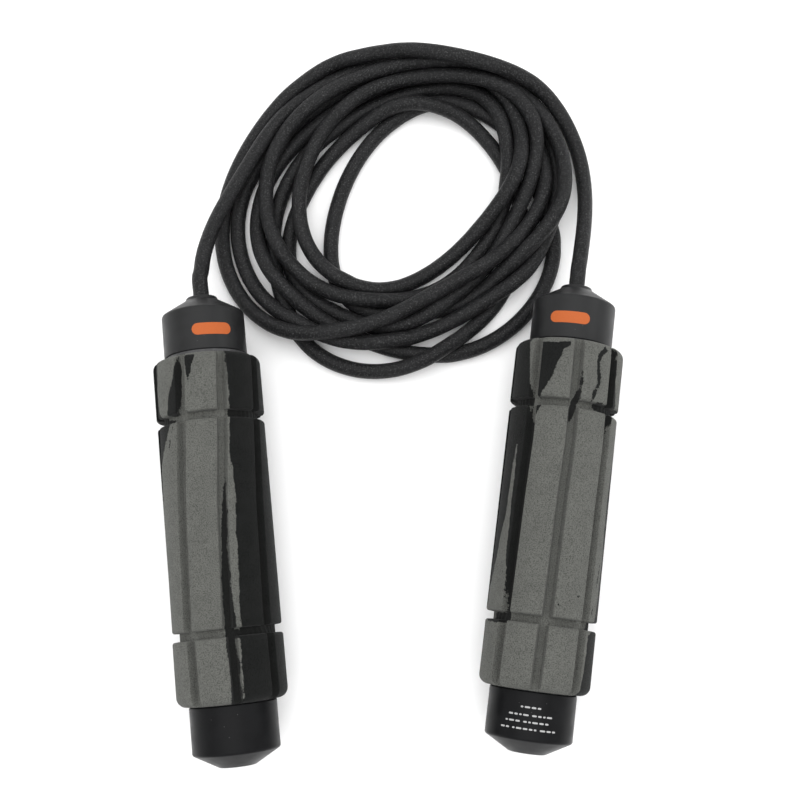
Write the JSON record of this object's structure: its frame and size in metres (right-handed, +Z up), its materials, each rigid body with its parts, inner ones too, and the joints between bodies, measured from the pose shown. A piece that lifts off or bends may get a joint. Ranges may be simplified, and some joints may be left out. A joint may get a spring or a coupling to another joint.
{
  "type": "weighted jump rope",
  "caption": "Weighted skipping rope: foam-gripped handles that spin on nose bearings, with screw-on end caps, joined by one long cord lying in a loose coil.",
  "frame": {"origin": "middle of the two handles' bounding box, on the surface they lie on", "axes": "+Z up; +Y from the handles' end caps towards the noses and the coil; +X from the left handle to the right one"},
  "size_m": [0.1776, 0.284, 0.0404],
  "materials": {
    "cord": "matte black extruded cord skin, fine speckle",
    "matte_black_plastic": "satin moulded black plastic",
    "tube_plastic": "plain extruded black plastic",
    "grip_foam": "two-tone closed-cell foam, mid grey and near-black",
    "bearing_steel": "ground bearing steel",
    "ball_steel": "polished balls",
    "cage_plastic": "moulded cage",
    "shield_steel": "pressed sheet shields",
    "spring_steel": "blackened spring steel",
    "turned_brass": "turned flanged sleeve",
    "washer_steel": "flat thrust washer",
    "collar_aluminium": "turned clamp collar",
    "screw_steel": "blackened set screw",
    "weight_steel": "turned bar, lightly oiled",
    "pad_foam": "soft foam disc",
    "seal_rubber": "flat sealing washer"
  },
  "bodies": {
    "cord": {"rope_coil": "cord", "rope_lead_left": "cord", "rope_lead_right": "cord", "bearing_inner_ring_left": "bearing_steel", "cord_sleeve_left": "turned_brass", "thrust_washer_left": "washer_steel", "cord_collar_left": "collar_aluminium", "clamp_screw_left": "screw_steel", "bearing_inner_ring_right": "bearing_steel", "cord_sleeve_right": "turned_brass", "thrust_washer_right": "washer_steel", "cord_collar_right": "collar_aluminium", "clamp_screw_right": "screw_steel"},
    "grip_unit_left": {"front_cap_left": "matte_black_plastic", "handle_tube_left": "tube_plastic", "foam_grip_left": "grip_foam", "bearing_outer_ring_left": "bearing_steel", "bearing_shields_left": "shield_steel", "retaining_ring_left": "spring_steel"},
    "ball_set_left": {"bearing_balls_left": "ball_steel", "bearing_cage_left": "cage_plastic"},
    "weight_unit_left": {"weight_rod_left": "weight_steel", "weight_pad_left": "pad_foam"},
    "cap_unit_left": {"end_cap_left": "matte_black_plastic", "end_cap_seal_left": "seal_rubber"},
    "grip_unit_right": {"front_cap_right": "matte_black_plastic", "handle_tube_right": "tube_plastic", "foam_grip_right": "grip_foam", "bearing_outer_ring_right": "bearing_steel", "bearing_shields_right": "shield_steel", "retaining_ring_right": "spring_steel"},
    "ball_set_right": {"bearing_balls_right": "ball_steel", "bearing_cage_right": "cage_plastic"},
    "weight_unit_right": {"weight_rod_right": "weight_steel", "weight_pad_right": "pad_foam"},
    "cap_unit_right": {"end_cap_right": "matte_black_plastic", "end_cap_seal_right": "seal_rubber"}
  },
  "joints": [
    {"name": "handle_spin_left", "type": "hinge", "parent": "cord", "child": "grip_unit_left", "pos_m": [-0.07013, 0.07132, 0.0202], "axis": [-0.1045, 0.9945, 0], "continuous": true},
    {"name": "ball_set_spin_left", "type": "hinge", "parent": "cord", "child": "ball_set_left", "pos_m": [-0.07013, 0.07132, 0.0202], "axis": [-0.1045, 0.9945, 0], "continuous": true},
    {"name": "weight_slide_left", "type": "slide", "parent": "grip_unit_left", "child": "weight_unit_left", "axis": [0.1045, -0.9945, 0], "range_m": [0, 0.1]},
    {"name": "cap_unscrew_left", "type": "hinge", "parent": "weight_unit_left", "child": "cap_unit_left", "pos_m": [-0.05482, -0.07438, 0.0202], "axis": [0.1045, -0.9945, 0], "range_deg": [0, 1440]},
    {"name": "handle_spin_right", "type": "hinge", "parent": "cord", "child": "grip_unit_right", "pos_m": [0.07052, 0.07536, 0.0202], "axis": [0.1288, 0.9917, 0], "continuous": true},
    {"name": "ball_set_spin_right", "type": "hinge", "parent": "cord", "child": "ball_set_right", "pos_m": [0.07052, 0.07536, 0.0202], "axis": [0.1288, 0.9917, 0], "continuous": true},
    {"name": "weight_slide_right", "type": "slide", "parent": "grip_unit_right", "child": "weight_unit_right", "axis": [-0.1288, -0.9917, 0], "range_m": [0, 0.1]},
    {"name": "cap_unscrew_right", "type": "hinge", "parent": "weight_unit_right", "child": "cap_unit_right", "pos_m": [0.05165, -0.06992, 0.0202], "axis": [-0.1288, -0.9917, 0], "range_deg": [0, 1440]}
  ],
  "couplings": [
    {"joint": "ball_set_spin_left", "follows": "handle_spin_left", "ratio": 0.63},
    {"joint": "ball_set_spin_right", "follows": "handle_spin_right", "ratio": 0.63}
  ]
}
